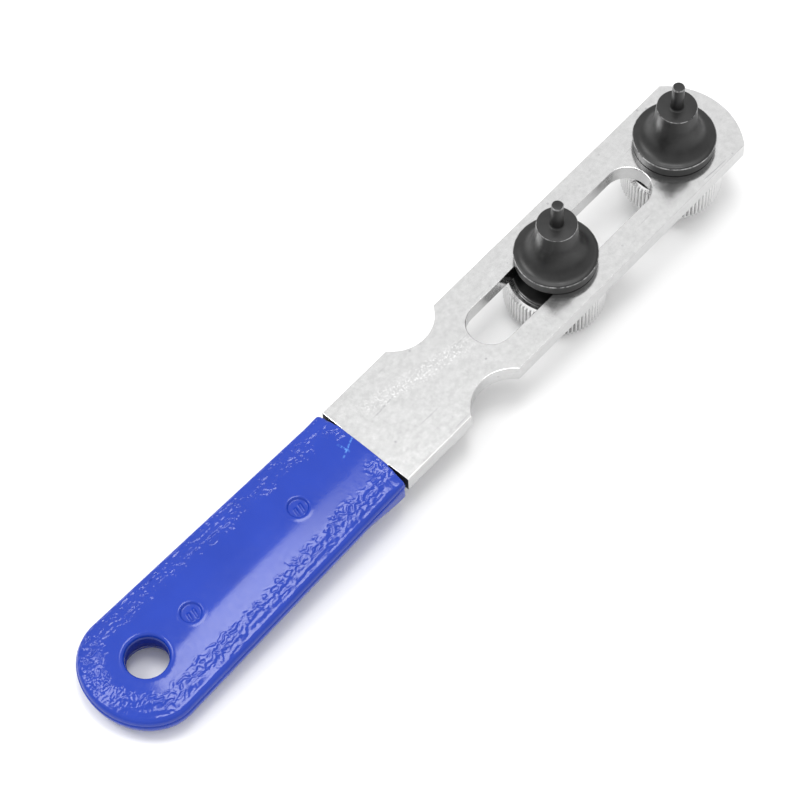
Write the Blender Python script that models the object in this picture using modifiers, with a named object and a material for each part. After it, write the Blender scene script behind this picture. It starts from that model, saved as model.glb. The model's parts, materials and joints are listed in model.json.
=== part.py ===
"""Adjustable two-pin case back opener.

A flat steel bar with a moulded plastic grip carries two turned bits. One bit
stands in a keyed hole at the tip, the other slides along a slot. Each bit has
a pin on top, a keyed neck through the bar and a threaded stud below, and is
clamped by a washer and a knurled nut.

The tool is drawn in its own frame: X along the bar from the grip's mouth to
the tip, Z up out of the bar's top face, which is Z = 0. It is then laid on a
level surface as it comes to rest by itself, on the heel of the grip and the
near rim of the sliding nut, with the origin under the middle of its box.
"""

import math

import bmesh
import bpy
from mathutils import Matrix, Vector

# Bar: flat stock with square edges, a slot and a keyed hole.
BAR_HALF_WIDTH = 0.0090
BAR_THICKNESS = 0.0032
BAR_EDGE = 0.00025
SHOULDER_X = 0.0002
TIP_ARC_X = 0.0736
TIP_ARC_R = 0.01264
NOTCH_X = 0.0207
NOTCH_Y = 0.0127
NOTCH_R = 0.00672
SLOT_HALF_WIDTH = 0.00395
SLOT_NEAR_X = 0.0298
SLOT_FAR_X = 0.0635
KEYHOLE_R = 0.0045

# Tang: the narrow end of the bar inside the grip.
TANG_HALF_WIDTH = 0.0050
TANG_END_X = -0.0435
TANG_CORNER_R = 0.0015

# Grip: one moulding around the tang.
GRIP_MOUTH_X = -0.0002
GRIP_MOUTH_HALF_WIDTH = 0.0093
GRIP_HEEL_X = -0.0494
GRIP_HEEL_LENGTH = 0.0089
GRIP_HEEL_HALF_WIDTH = 0.01045
GRIP_TOP = 0.0015
GRIP_BOTTOM = -0.0042
GRIP_TOP_EDGE_R = 0.0015
GRIP_BACK_EDGE_R = 0.0029
POCKET_GAP = 0.0003
HANG_HOLE_X = -0.0479
HANG_HOLE_R = 0.00340
HANG_LIP_R = 0.00405
HANG_LIP_DEPTH = 0.0006
MARK_XS = (-0.01485, -0.03835)
MARK_R = 0.0021
MARK_DEPTH = 0.0003

# Bits: the same turned part twice.
SLIDING_BIT_X = 0.04564
FIXED_BIT_X = 0.0753
PIN_R = 0.00105
PIN_TOP = 0.0155
TURRET_R = 0.00338
TURRET_TOP = 0.01014
FLANGE_R = 0.0070
FLANGE_RIM_R = 0.00676
FLANGE_TOP = 0.00203
FLANGE_BOTTOM = 0.0003
NECK_R = 0.0042
NECK_HALF_FLAT = 0.0036
NECK_BOTTOM = -0.0029
STUD_R = 0.0030
STUD_BOTTOM = -0.0098
BIT_STEPS = 40

# Washers and nuts under the bar.
WASHER_R = 0.0070
WASHER_BORE_R = 0.0033
WASHER_TOP = -0.00345
WASHER_BOTTOM = -0.00395
WASHER_STEPS = 48
NUT_R = 0.0085
NUT_ROOT_R = 0.00822
NUT_TOP = -0.00420
NUT_BOTTOM = -0.0106
NUT_CHAMFER = 0.0006
NUT_TEETH = 60
NUT_BORE_R = 0.0033


def clear_scene():
    for obj in list(bpy.data.objects):
        bpy.data.objects.remove(obj, do_unlink=True)


def new_collection(name):
    group = bpy.data.collections.new(name)
    bpy.context.scene.collection.children.link(group)
    return group


def principled(name, colour, metallic, roughness):
    mat = bpy.data.materials.new(name)
    mat.use_nodes = True
    shader = mat.node_tree.nodes["Principled BSDF"]
    shader.inputs["Base Color"].default_value = (*colour, 1.0)
    shader.inputs["Metallic"].default_value = metallic
    shader.inputs["Roughness"].default_value = roughness
    mat.diffuse_color = (*colour, 1.0)
    return mat


def arc(cx, cy, r, start, end, count):
    """Points along an arc from start to end degrees, both ends included."""
    points = []
    for i in range(count + 1):
        a = math.radians(start + (end - start) * i / count)
        points.append((cx + r * math.cos(a), cy + r * math.sin(a)))
    return points


def mirrored(upper):
    """Closes a chain of points above Y = 0, from +X round to -X, with its image below."""
    lower = [(x, -y) for x, y in reversed(upper) if y > 1e-7]
    return upper + lower


def flat_shape(name, outline, bottom, top, edge_r=0.0, edge_steps=0):
    """A closed outline drawn as a 2D curve, extruded from bottom to top, made a mesh."""
    curve = bpy.data.curves.new(name, "CURVE")
    curve.dimensions = "2D"
    curve.fill_mode = "BOTH"
    curve.extrude = (top - bottom) / 2 - edge_r
    curve.bevel_depth = edge_r
    curve.bevel_resolution = edge_steps
    curve.offset = -edge_r
    spline = curve.splines.new("POLY")
    spline.points.add(len(outline) - 1)
    for point, (x, y) in zip(spline.points, outline):
        point.co = (x, y, 0.0, 1.0)
    spline.use_cyclic_u = True
    drawn = bpy.data.objects.new(name + "_outline", curve)
    bpy.context.scene.collection.objects.link(drawn)
    drawn.location.z = (top + bottom) / 2
    bpy.context.view_layer.update()
    graph = bpy.context.evaluated_depsgraph_get()
    mesh = bpy.data.meshes.new_from_object(drawn.evaluated_get(graph))
    mesh.transform(drawn.matrix_world)
    bpy.data.objects.remove(drawn, do_unlink=True)
    bpy.data.curves.remove(curve)
    mesh.name = name
    work = bmesh.new()
    work.from_mesh(mesh)
    bmesh.ops.remove_doubles(work, verts=work.verts, dist=1e-6)
    bmesh.ops.dissolve_limit(
        work, angle_limit=math.radians(0.5), verts=work.verts, edges=work.edges
    )
    bmesh.ops.recalc_face_normals(work, faces=work.faces)
    work.to_mesh(mesh)
    work.free()
    return bpy.data.objects.new(name, mesh)


def turned_shape(name, profile, steps):
    """A profile of (radius, height) points, from the top down its outer side, spun about Z."""
    mesh = bpy.data.meshes.new(name)
    verts = [(r, 0.0, z) for r, z in profile]
    mesh.from_pydata(verts, [(i, i + 1) for i in range(len(verts) - 1)], [])
    obj = bpy.data.objects.new(name, mesh)
    screw = obj.modifiers.new("Turn", "SCREW")
    screw.axis = "Z"
    screw.angle = math.tau
    screw.steps = steps
    screw.render_steps = steps
    screw.use_merge_vertices = True
    screw.merge_threshold = 0.00001
    return obj


def ring_shape(name, profile, steps):
    """The same for a ring: the profile closes on itself clear of the axis."""
    obj = turned_shape(name, profile + [profile[0]], steps)
    return obj


def box_shape(name, low, high):
    mesh = bpy.data.meshes.new(name)
    work = bmesh.new()
    bmesh.ops.create_cube(work, size=1.0)
    size = [b - a for a, b in zip(low, high)]
    middle = [(a + b) / 2 for a, b in zip(low, high)]
    bmesh.ops.scale(work, vec=size, verts=work.verts)
    bmesh.ops.translate(work, vec=middle, verts=work.verts)
    work.to_mesh(mesh)
    work.free()
    return bpy.data.objects.new(name, mesh)


def boolean(obj, tool, operation, cutters):
    tool.hide_render = True
    tool.display_type = "WIRE"
    if tool.name not in cutters.objects:
        cutters.objects.link(tool)
    cut = obj.modifiers.new(tool.name, "BOOLEAN")
    cut.operation = operation
    cut.solver = "EXACT"
    cut.object = tool


def bar_outline():
    """The bar's edge from the tip round to the tang's end, upper half."""
    tip_angle = math.degrees(math.asin(BAR_HALF_WIDTH / TIP_ARC_R))
    upper = arc(TIP_ARC_X, 0.0, TIP_ARC_R, 0.0, tip_angle, 14)
    half_chord = math.sqrt(NOTCH_R**2 - (NOTCH_Y - BAR_HALF_WIDTH) ** 2)
    swing = math.degrees(math.atan2(half_chord, NOTCH_Y - BAR_HALF_WIDTH))
    upper += arc(NOTCH_X, NOTCH_Y, NOTCH_R, -90.0 + swing, -90.0 - swing, 16)
    upper.append((SHOULDER_X, BAR_HALF_WIDTH))
    upper.append((SHOULDER_X, TANG_HALF_WIDTH))
    upper += arc(
        TANG_END_X + TANG_CORNER_R,
        TANG_HALF_WIDTH - TANG_CORNER_R,
        TANG_CORNER_R,
        90.0,
        180.0,
        4,
    )
    return mirrored(upper)


def obround(near, far, r, count):
    return arc(near, 0.0, r, 90.0, 270.0, count) + arc(far, 0.0, r, -90.0, 90.0, count)


def double_d(r, half_flat, count):
    """A circle with two opposite flats, centred on the origin."""
    edge = math.degrees(math.asin(half_flat / r))
    return arc(0.0, 0.0, r, -edge, edge, count) + arc(
        0.0, 0.0, r, 180.0 - edge, 180.0 + edge, count
    )


def make_bar(cutters):
    bar = flat_shape("bar", bar_outline(), -BAR_THICKNESS, 0.0)
    slot = flat_shape(
        "slot_cutter",
        obround(SLOT_NEAR_X, SLOT_FAR_X, SLOT_HALF_WIDTH, 16),
        -0.006,
        0.003,
    )
    boolean(bar, slot, "DIFFERENCE", cutters)
    keyhole = flat_shape(
        "keyhole_cutter", double_d(KEYHOLE_R, SLOT_HALF_WIDTH, 8), -0.006, 0.003
    )
    keyhole.location.x = FIXED_BIT_X
    boolean(bar, keyhole, "DIFFERENCE", cutters)
    edges = bar.modifiers.new("Broken edges", "BEVEL")
    edges.width = BAR_EDGE
    edges.segments = 1
    edges.limit_method = "ANGLE"
    edges.angle_limit = math.radians(60.0)
    return bar, (slot, keyhole)


def grip_outline(mouth_x):
    """The grip's edge: an elliptical heel and two sides tangent to it, run on to mouth_x."""
    squash = GRIP_HEEL_LENGTH / GRIP_HEEL_HALF_WIDTH
    run = (GRIP_MOUTH_X - GRIP_HEEL_X) / squash
    reach = math.hypot(run, GRIP_MOUTH_HALF_WIDTH)
    lean = math.degrees(math.atan2(GRIP_MOUTH_HALF_WIDTH, run))
    tangent = lean + math.degrees(math.acos(GRIP_HEEL_HALF_WIDTH / reach))
    heel = [
        (GRIP_HEEL_X + squash * x, y)
        for x, y in arc(0.0, 0.0, GRIP_HEEL_HALF_WIDTH, tangent, 180.0, 20)
    ]
    slope = (heel[0][1] - GRIP_MOUTH_HALF_WIDTH) / (heel[0][0] - GRIP_MOUTH_X)
    mouth_y = GRIP_MOUTH_HALF_WIDTH + slope * (mouth_x - GRIP_MOUTH_X)
    return mirrored([(mouth_x, mouth_y)] + heel)


def weigh_rims(obj, top_weight, bottom_weight):
    """Marks the edges round the top and the bottom face for a weighted bevel."""
    work = bmesh.new()
    work.from_mesh(obj.data)
    weight = work.edges.layers.float.new("bevel_weight_edge")
    heights = [v.co.z for v in work.verts]
    for edge in work.edges:
        zs = [v.co.z for v in edge.verts]
        upright = [abs(face.normal.z) < 0.5 for face in edge.link_faces]
        if any(upright) and not all(upright):
            if min(zs) > max(heights) - 1e-5:
                edge[weight] = top_weight
            elif max(zs) < min(heights) + 1e-5:
                edge[weight] = bottom_weight
    work.to_mesh(obj.data)
    work.free()


def make_grip(cutters):
    run_on = 0.005
    grip = flat_shape("grip", grip_outline(GRIP_MOUTH_X + run_on), GRIP_BOTTOM, GRIP_TOP)
    weigh_rims(grip, GRIP_TOP_EDGE_R / GRIP_BACK_EDGE_R, 1.0)
    edges = grip.modifiers.new("Rounded edges", "BEVEL")
    edges.width = GRIP_BACK_EDGE_R
    edges.segments = 4
    edges.limit_method = "WEIGHT"
    tools = []
    tools.append(
        box_shape(
            "mouth_cutter", (GRIP_MOUTH_X, -0.02, -0.02), (GRIP_MOUTH_X + 0.02, 0.02, 0.02)
        )
    )
    tools.append(
        box_shape(
            "pocket_cutter",
            (
                TANG_END_X - POCKET_GAP,
                -TANG_HALF_WIDTH - POCKET_GAP,
                -BAR_THICKNESS - POCKET_GAP,
            ),
            (GRIP_MOUTH_X + 0.002, TANG_HALF_WIDTH + POCKET_GAP, POCKET_GAP),
        )
    )
    over = 0.001
    widen = (HANG_LIP_R - HANG_HOLE_R) / HANG_LIP_DEPTH
    lip_out = HANG_LIP_R + widen * over
    hole = turned_shape(
        "hang_hole_cutter",
        [
            (0.0, GRIP_TOP + over),
            (lip_out, GRIP_TOP + over),
            (HANG_HOLE_R, GRIP_TOP - HANG_LIP_DEPTH),
            (HANG_HOLE_R, GRIP_BOTTOM + HANG_LIP_DEPTH),
            (lip_out, GRIP_BOTTOM - over),
            (0.0, GRIP_BOTTOM - over),
        ],
        32,
    )
    hole.location.x = HANG_HOLE_X
    tools.append(hole)
    for i, x in enumerate(MARK_XS):
        for side, face in (("top", GRIP_TOP), ("bottom", GRIP_BOTTOM)):
            inward = -1.0 if side == "top" else 1.0
            ends = sorted((face + inward * MARK_DEPTH, face - inward * over))
            mark = turned_shape(
                f"mark_cutter_{side}_{i + 1}",
                [(0.0, ends[1]), (MARK_R, ends[1]), (MARK_R, ends[0]), (0.0, ends[0])],
                24,
            )
            mark.location.x = x
            tools.append(mark)
    for tool in tools:
        boolean(grip, tool, "DIFFERENCE", cutters)
    return grip, tools


def turret_profile():
    """A bell: nearly straight at the top, flaring out to the flange in one hollow curve."""
    steps = 7
    foot_r, foot_z = 0.0064, FLANGE_TOP + 0.0002
    waist_r, waist_z = 0.00355, 0.0072
    points = [(0.0, PIN_TOP), (PIN_R - 0.0001, PIN_TOP), (PIN_R, PIN_TOP - 0.0001)]
    points += [(PIN_R, TURRET_TOP + 0.0002), (PIN_R + 0.0002, TURRET_TOP)]
    points += [(TURRET_R - 0.0001, TURRET_TOP), (TURRET_R, TURRET_TOP - 0.0001)]
    for i in range(steps + 1):
        a = math.radians(90.0 * i / steps)
        points.append(
            (foot_r - (foot_r - waist_r) * math.cos(a), waist_z - (waist_z - foot_z) * math.sin(a))
        )
    points += [(FLANGE_RIM_R, FLANGE_TOP), (FLANGE_R, FLANGE_TOP - 0.00035)]
    return points


def make_bit(name, cutters):
    profile = turret_profile()
    profile += [
        (FLANGE_R, FLANGE_BOTTOM),
        (NECK_R, FLANGE_BOTTOM),
        (NECK_R, NECK_BOTTOM),
        (STUD_R, NECK_BOTTOM),
        (STUD_R, STUD_BOTTOM + 0.0004),
        (STUD_R - 0.0004, STUD_BOTTOM),
        (0.0, STUD_BOTTOM),
    ]
    bit = turned_shape(name, profile, BIT_STEPS)
    tools = []
    for side in (-1, 1):
        ys = sorted((side * NECK_HALF_FLAT, side * (NECK_R + 0.001)))
        tool = box_shape(
            f"{name}_flat_cutter_{'left' if side > 0 else 'right'}",
            (-NECK_R - 0.001, ys[0], NECK_BOTTOM - 0.0005),
            (NECK_R + 0.001, ys[1], FLANGE_BOTTOM),
        )
        boolean(bit, tool, "DIFFERENCE", cutters)
        tools.append(tool)
    return bit, tools


def make_washer(name):
    return ring_shape(
        name,
        [
            (WASHER_BORE_R, WASHER_TOP),
            (WASHER_R - 0.0001, WASHER_TOP),
            (WASHER_R, WASHER_TOP - 0.0001),
            (WASHER_R, WASHER_BOTTOM),
            (WASHER_BORE_R, WASHER_BOTTOM),
        ],
        WASHER_STEPS,
    )


def knurl_outline():
    """Straight knurling: flat-topped teeth, one of them centred on -X."""
    pitch = 360.0 / NUT_TEETH
    points = []
    for i in range(NUT_TEETH):
        middle = 180.0 + i * pitch
        for offset, r in ((-0.24, NUT_R), (0.24, NUT_R), (0.5, NUT_ROOT_R)):
            a = math.radians(middle + offset * pitch)
            points.append((r * math.cos(a), r * math.sin(a)))
    return points


def make_nut(name, cutters):
    nut = flat_shape(name, knurl_outline(), NUT_BOTTOM, NUT_TOP)
    inner = NUT_R - NUT_CHAMFER
    outer = NUT_R + 0.0010
    height = NUT_CHAMFER * (outer - inner) / NUT_CHAMFER
    over = 0.0010
    envelope = turned_shape(
        f"{name}_chamfer_guide",
        [
            (0.0, NUT_TOP + over),
            (inner - over, NUT_TOP + over),
            (outer, NUT_TOP - height),
            (outer, NUT_BOTTOM + height),
            (inner - over, NUT_BOTTOM - over),
            (0.0, NUT_BOTTOM - over),
        ],
        NUT_TEETH,
    )
    envelope.rotation_euler.z = math.pi / NUT_TEETH
    boolean(nut, envelope, "INTERSECT", cutters)
    bore = turned_shape(
        f"{name}_bore_cutter",
        [
            (0.0, NUT_TOP + over),
            (NUT_BORE_R, NUT_TOP + over),
            (NUT_BORE_R, NUT_BOTTOM - over),
            (0.0, NUT_BOTTOM - over),
        ],
        32,
    )
    boolean(nut, bore, "DIFFERENCE", cutters)
    return nut, (envelope, bore)


def finish_piece(obj, mat, group, parent, angle=35.0):
    group.objects.link(obj)
    obj.data.materials.clear()
    obj.data.materials.append(mat)
    obj.parent = parent
    for face in obj.data.polygons:
        face.use_smooth = True
    if obj.data.polygons:
        obj.data.set_sharp_from_angle(angle=math.radians(angle))


def world_points(pieces):
    graph = bpy.context.evaluated_depsgraph_get()
    points = []
    for obj in pieces:
        ready = obj.evaluated_get(graph)
        mesh = ready.to_mesh()
        points += [ready.matrix_world @ v.co for v in mesh.vertices]
        ready.to_mesh_clear()
    return points


def lay_to_rest(root, pieces):
    """Tips the tool about Y until the heel and the sliding nut stand equally low, then
    moves it so that the origin is under the middle of its box."""
    bpy.context.view_layer.update()
    points = world_points(pieces)
    heel = [p for p in points if p.x < SHOULDER_X]
    front = [p for p in points if p.x >= SHOULDER_X]

    def lowest(group, tilt):
        return min(p.x * math.sin(tilt) + p.z * math.cos(tilt) for p in group)

    low, high = 0.0, math.radians(15.0)
    for _ in range(60):
        tilt = (low + high) / 2
        if lowest(heel, tilt) > lowest(front, tilt):
            low = tilt
        else:
            high = tilt
    turn = Matrix.Rotation(-tilt, 4, "Y")
    turned = [turn @ p for p in points]
    xs, ys, zs = ([p[i] for p in turned] for i in range(3))
    shift = Vector((-(min(xs) + max(xs)) / 2, -(min(ys) + max(ys)) / 2, -min(zs)))
    root.matrix_world = Matrix.Translation(shift) @ turn
    bpy.context.view_layer.update()
    return tilt


def main():
    clear_scene()
    group = new_collection("case_back_opener")
    cutters = new_collection("cutters")
    cutters.hide_render = True

    steel = principled("plated_steel", (0.72, 0.72, 0.71), 1.0, 0.32)
    blue = principled("blue_plastic", (0.044, 0.089, 0.578), 0.0, 0.3)
    black = principled("black_oxide_steel", (0.035, 0.036, 0.04), 0.8, 0.38)
    black_washer = principled("black_washer_steel", (0.03, 0.03, 0.033), 0.7, 0.45)
    chrome = principled("chrome_steel", (0.78, 0.78, 0.77), 1.0, 0.18)

    root = bpy.data.objects.new("tool_at_rest", None)
    root.empty_display_size = 0.02
    group.objects.link(root)

    bar, bar_tools = make_bar(cutters)
    finish_piece(bar, steel, group, root)
    grip, grip_tools = make_grip(cutters)
    finish_piece(grip, blue, group, root, 40.0)
    for tool in [*bar_tools, *grip_tools]:
        tool.parent = root

    pieces = [bar, grip]
    for name, x in (("fixed", FIXED_BIT_X), ("sliding", SLIDING_BIT_X)):
        bit, bit_tools = make_bit(f"{name}_bit", cutters)
        finish_piece(bit, black, group, root)
        bit.location.x = x
        washer = make_washer(f"{name}_washer")
        finish_piece(washer, black_washer, group, bit)
        nut, nut_tools = make_nut(f"{name}_nut", cutters)
        finish_piece(nut, chrome, group, bit, 20.0)
        for tool in bit_tools:
            tool.parent = bit
        for tool in nut_tools:
            tool.parent = nut
        pieces += [bit, washer, nut]

    lay_to_rest(root, pieces)


main()
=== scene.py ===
"""The case back opener as it looks: fine meshes, materials, floor, light and camera,
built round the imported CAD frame.

Every piece is drawn in the tool's own frame (X from the grip's mouth to the tip,
Z up out of the bar's top face, in metres) and placed by the frame's own joints.
"""

import json
import math

import bmesh
import bpy
import numpy as np
from mathutils import Matrix, Vector, geometry


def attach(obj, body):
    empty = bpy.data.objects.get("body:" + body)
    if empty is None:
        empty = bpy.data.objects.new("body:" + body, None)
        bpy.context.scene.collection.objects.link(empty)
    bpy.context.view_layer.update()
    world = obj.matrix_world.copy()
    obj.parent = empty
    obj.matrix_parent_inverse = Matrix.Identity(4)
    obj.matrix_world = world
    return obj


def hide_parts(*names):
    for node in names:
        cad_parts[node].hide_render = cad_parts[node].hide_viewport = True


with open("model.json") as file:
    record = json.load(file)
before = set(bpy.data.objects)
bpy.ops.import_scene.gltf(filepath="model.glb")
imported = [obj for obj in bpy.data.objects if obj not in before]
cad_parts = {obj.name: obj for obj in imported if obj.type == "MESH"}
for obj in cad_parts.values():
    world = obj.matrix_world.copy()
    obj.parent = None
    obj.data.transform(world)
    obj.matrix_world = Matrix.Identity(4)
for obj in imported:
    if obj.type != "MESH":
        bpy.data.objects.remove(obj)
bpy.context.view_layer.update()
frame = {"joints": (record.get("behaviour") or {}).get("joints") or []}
MM = 0.001

# --------------------------------------------------------------------------
# The tool's own frame, from the record's joints
# --------------------------------------------------------------------------

SLIDING_X = 45.64
FIXED_X = 75.3

joints = {j["name"]: j for j in frame["joints"]}
along = Vector(joints["slot_slide"]["axis"]).normalized()
up = -Vector(joints["sliding_washer_drop"]["axis"]).normalized()
side = up.cross(along).normalized()
start = Vector(joints["sliding_nut_turn"]["pos_m"]) - along * (SLIDING_X * MM)
TOOL = Matrix(
    (
        (along.x, side.x, up.x, start.x),
        (along.y, side.y, up.y, start.y),
        (along.z, side.z, up.z, start.z),
        (0.0, 0.0, 0.0, 1.0),
    )
)

# --------------------------------------------------------------------------
# Camera, in the tool's frame
# --------------------------------------------------------------------------

CAMERA_AT = (-154.42, -161.83, 405.96)
CAMERA_RIGHT = (0.66810, -0.74353, -0.02849)
CAMERA_DOWN = (-0.65574, -0.57026, -0.49477)
CAMERA_LENS = 135.03


def make_camera():
    data = bpy.data.cameras.new("camera")
    data.sensor_width = 36.0
    data.lens = CAMERA_LENS
    data.clip_start = 0.01
    data.clip_end = 20.0
    cam = bpy.data.objects.new("camera", data)
    bpy.context.scene.collection.objects.link(cam)
    turn = TOOL.to_3x3()
    right = (turn @ Vector(CAMERA_RIGHT)).normalized()
    down = turn @ Vector(CAMERA_DOWN)
    down = (down - right * down.dot(right)).normalized()
    forward = right.cross(down).normalized()
    at = TOOL @ (Vector(CAMERA_AT) * MM)
    cam.matrix_world = Matrix(
        (
            (right.x, -down.x, -forward.x, at.x),
            (right.y, -down.y, -forward.y, at.y),
            (right.z, -down.z, -forward.z, at.z),
            (0.0, 0.0, 0.0, 1.0),
        )
    )
    bpy.context.scene.camera = cam
    return cam


make_camera()
scene = bpy.context.scene
scene.view_settings.view_transform = "Standard"
scene.view_settings.look = "None"

# --------------------------------------------------------------------------
# Node helpers
# --------------------------------------------------------------------------


class Nodes:
    """Short names for building one material's nodes."""

    def __init__(self, name):
        self.mat = bpy.data.materials.new(name)
        self.mat.use_nodes = True
        self.tree = self.mat.node_tree
        self.shader = self.tree.nodes["Principled BSDF"]
        self.coords = self.tree.nodes.new("ShaderNodeTexCoord").outputs["Object"]

    def set(self, **values):
        for name, value in values.items():
            self.shader.inputs[name.replace("_", " ")].default_value = value

    def link(self, a, b):
        self.tree.links.new(a, b)

    def into(self, output, socket):
        self.link(output, self.shader.inputs[socket])

    def node(self, kind, **settings):
        made = self.tree.nodes.new(kind)
        for name, value in settings.items():
            setattr(made, name, value)
        return made

    def mapping(self, scale, rotation=(0.0, 0.0, 0.0), location=(0.0, 0.0, 0.0), source=None):
        made = self.node("ShaderNodeMapping")
        made.inputs["Scale"].default_value = scale
        made.inputs["Rotation"].default_value = rotation
        made.inputs["Location"].default_value = location
        self.link(source or self.coords, made.inputs["Vector"])
        return made.outputs["Vector"]

    def noise(self, scale, detail=2.0, rough=0.5, distortion=0.0, vector=None):
        made = self.node("ShaderNodeTexNoise")
        made.inputs["Scale"].default_value = scale
        made.inputs["Detail"].default_value = detail
        made.inputs["Roughness"].default_value = rough
        made.inputs["Distortion"].default_value = distortion
        self.link(vector or self.coords, made.inputs["Vector"])
        return made.outputs["Fac"]

    def voronoi(self, scale, feature="F1", vector=None, randomness=1.0):
        made = self.node("ShaderNodeTexVoronoi", feature=feature)
        made.inputs["Scale"].default_value = scale
        made.inputs["Randomness"].default_value = randomness
        self.link(vector or self.coords, made.inputs["Vector"])
        return made.outputs["Distance"]

    def ramp(self, source, *stops):
        """stops: (position, grey or colour)."""
        made = self.node("ShaderNodeValToRGB")
        points = made.color_ramp.elements
        while len(points) < len(stops):
            points.new(0.5)
        for point, (place, value) in zip(points, stops):
            point.position = place
            if isinstance(value, (int, float)):
                value = (value, value, value)
            point.color = (*value, 1.0)
        self.link(source, made.inputs["Fac"])
        return made.outputs["Color"]

    def math(self, operation, a, b=None, clamp=False):
        made = self.node("ShaderNodeMath", operation=operation, use_clamp=clamp)
        for socket, value in zip(made.inputs, (a, b)):
            if value is None:
                continue
            if isinstance(value, (int, float)):
                socket.default_value = value
            else:
                self.link(value, socket)
        return made.outputs[0]

    def scaled(self, source, low, high, start=0.0, end=1.0):
        made = self.node("ShaderNodeMapRange")
        made.clamp = True
        made.inputs["From Min"].default_value = start
        made.inputs["From Max"].default_value = end
        made.inputs["To Min"].default_value = low
        made.inputs["To Max"].default_value = high
        self.link(source, made.inputs["Value"])
        return made.outputs["Result"]

    def mix(self, factor, a, b):
        made = self.node("ShaderNodeMix", data_type="RGBA")
        self.link(factor, made.inputs["Factor"])
        for socket, value in ((made.inputs[6], a), (made.inputs[7], b)):
            if isinstance(value, tuple):
                socket.default_value = (*value, 1.0)
            else:
                self.link(value, socket)
        return made.outputs[2]

    def streak(self, centre, degrees, half_length, half_width):
        """1 along a short soft-edged stroke on the upper face, 0 away from it."""
        moved = self.node("ShaderNodeMapping", vector_type="TEXTURE")
        moved.inputs["Location"].default_value = (centre[0], centre[1], 0.0)
        moved.inputs["Rotation"].default_value = (0.0, 0.0, math.radians(degrees))
        self.link(self.coords, moved.inputs["Vector"])
        split = self.node("ShaderNodeSeparateXYZ")
        self.link(moved.outputs["Vector"], split.inputs[0])
        run = self.math("ABSOLUTE", split.outputs["X"])
        off = self.math("ABSOLUTE", split.outputs["Y"])
        return self.math(
            "MULTIPLY",
            self.scaled(run, 1.0, 0.0, half_length * 0.6, half_length),
            self.scaled(off, 1.0, 0.0, half_width * 0.4, half_width),
        )

    def bump(self, height, strength, distance, normal=None):
        made = self.node("ShaderNodeBump")
        made.inputs["Strength"].default_value = strength
        made.inputs["Distance"].default_value = distance
        self.link(height, made.inputs["Height"])
        if normal is not None:
            self.link(normal, made.inputs["Normal"])
        return made.outputs["Normal"]


# --------------------------------------------------------------------------
# Materials
# --------------------------------------------------------------------------


def plated_steel():
    n = Nodes("plated_steel")
    n.set(Metallic=1.0, Roughness=0.22)
    blotch = n.noise(900.0, 4.0, 0.7)
    fine = n.noise(3600.0, 3.0, 0.65)
    rolled = n.noise(1.0, 2.0, 0.5, vector=n.mapping((160.0, 900.0, 900.0)))
    tone = n.ramp(blotch, (0.34, 0.55), (0.5, 0.585), (0.68, 0.62))
    speck = n.voronoi(620.0)
    patch = n.noise(170.0, 2.0, 0.5)
    sparse = n.math("MULTIPLY", n.scaled(speck, 1.0, 0.0, 0.10, 0.17), n.scaled(patch, 0.0, 1.0, 0.5, 0.62))
    scratch = n.noise(1.0, 1.0, 0.4, 0.6, vector=n.mapping((90.0, 2600.0, 900.0), (0.0, 0.0, 0.35)))
    line = n.math("MULTIPLY", n.scaled(scratch, 0.0, 1.0, 0.72, 0.78), 0.6)
    marks = n.math("ADD", n.math("MULTIPLY", sparse, 0.55), line, clamp=True)
    # A band of fine scratches along the bar near the mouth, with their glint painted as pale flecks in the
    # steel's colour: real scratches, painted highlight.
    scratch_band_glint = n.streak((0.00112, 0.0022), -12.0, 0.012, 0.0019)
    glint_fleck = n.scaled(n.noise(2300.0, 4.0, 0.75), 0.0, 1.0, 0.5, 0.62)
    pale = n.math("MULTIPLY", scratch_band_glint, glint_fleck)
    n.into(n.mix(pale, n.mix(marks, tone, (0.38, 0.38, 0.39)), (0.76, 0.76, 0.76)), "Base Color")
    n.into(n.scaled(blotch, 0.135, 0.175, 0.3, 0.7), "Roughness")
    normal = n.bump(blotch, 0.03, 0.00003)
    normal = n.bump(fine, 0.14, 0.00001, normal)
    normal = n.bump(rolled, 0.08, 0.00002, normal)
    n.into(normal, "Normal")
    return n.mat


def grip_plastic():
    n = Nodes("blue_plastic")
    n.set(Base_Color=(0.005, 0.032, 0.33, 1.0), Roughness=0.13)
    n.shader.inputs["IOR"].default_value = 1.43
    cloud = n.noise(150.0, 2.0, 0.5)
    fine = n.noise(1500.0, 2.0, 0.5)
    colour = n.ramp(cloud, (0.3, (0.004, 0.031, 0.315)), (0.7, (0.006, 0.036, 0.345)))
    rub = n.streak((-0.0162, 0.0013), 22.0, 0.0026, 0.0002)
    smear = n.streak((-0.0168, 0.0017), 98.0, 0.0013, 0.00024)
    broken = n.scaled(n.noise(2200.0, 3.0, 0.7), 0.0, 1.0, 0.42, 0.6)
    pale = n.math("MULTIPLY", n.math("MAXIMUM", rub, smear), broken)
    n.into(n.mix(n.math("MULTIPLY", pale, 0.6), colour, (0.13, 0.36, 0.78)), "Base Color")
    n.into(n.scaled(fine, 0.11, 0.17, 0.3, 0.7), "Roughness")
    n.into(n.bump(fine, 0.08, 0.00001), "Normal")
    return n.mat


# The hanging hole's lower wall: a darker, rougher blue with weak reflection, painted shade of the hole's
# shadowed inside.
def bore_plastic_painted_shade():
    n = Nodes("blue_plastic_bore_painted_shade")
    n.set(Base_Color=(0.004, 0.02, 0.24, 1.0), Roughness=0.5)
    n.shader.inputs["Specular IOR Level"].default_value = 0.1
    n.shader.inputs["IOR"].default_value = 1.35
    fine = n.noise(1500.0, 2.0, 0.5)
    n.into(n.ramp(fine, (0.3, (0.004, 0.018, 0.22)), (0.7, (0.006, 0.022, 0.26))), "Base Color")
    return n.mat


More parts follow.
